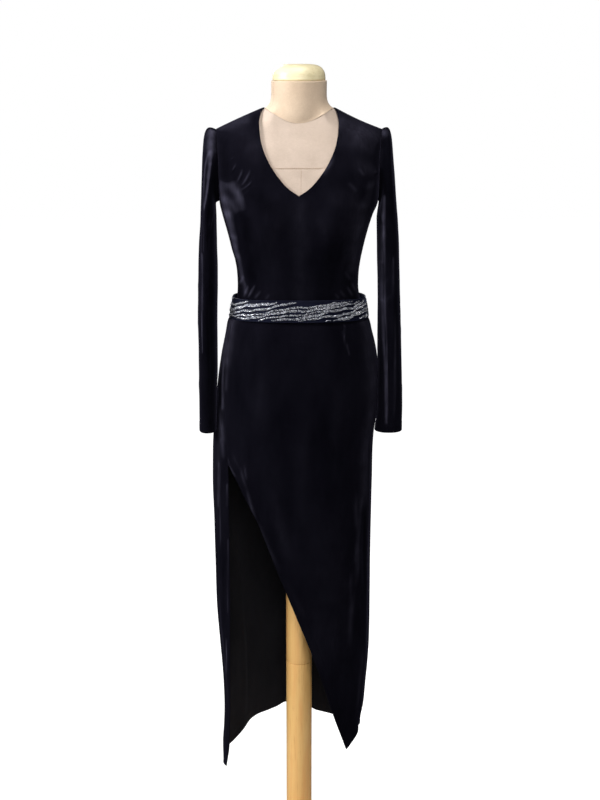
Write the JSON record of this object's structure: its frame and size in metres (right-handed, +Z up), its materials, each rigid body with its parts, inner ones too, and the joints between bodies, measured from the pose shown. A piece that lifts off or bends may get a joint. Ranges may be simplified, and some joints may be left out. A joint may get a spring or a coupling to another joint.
{
  "type": "evening dress on a limbless dress form",
  "caption": "Long-sleeved V-neck velvet evening dress with a slit wrap-over skirt and beaded belt, on a linen dress form with a wooden pole and round foot.",
  "frame": {"origin": "centre of the flat underside of the round foot, on the floor, on the pole's axis", "axes": "+Z up along the pole, -Y towards the front of the dress, +X to the right of someone facing it"},
  "size_m": [0.4358, 0.3, 1.7775],
  "materials": {
    "velvet": "dark navy stretch velvet with a soft blue-violet sheen at glancing angles",
    "beaded_band": "navy satin band with wavy strands of small silvery glass beads",
    "linen": "matt natural linen stretched over a padded form",
    "cap_wood": "pale turned wood, satin",
    "pole_wood": "light beech, satin varnish"
  },
  "bodies": {
    "root": {"bodice_front": "velvet", "bodice_back": "velvet", "sleeve_left": "velvet", "sleeve_right": "velvet", "skirt_front": "velvet", "skirt_back": "velvet", "belt": "beaded_band", "form_torso": "linen", "form_neck": "linen", "form_cap": "cap_wood", "pole_upper": "pole_wood", "pole_lower": "pole_wood", "base_collar": "pole_wood", "base_plate": "pole_wood"}
  },
  "joints": []
}
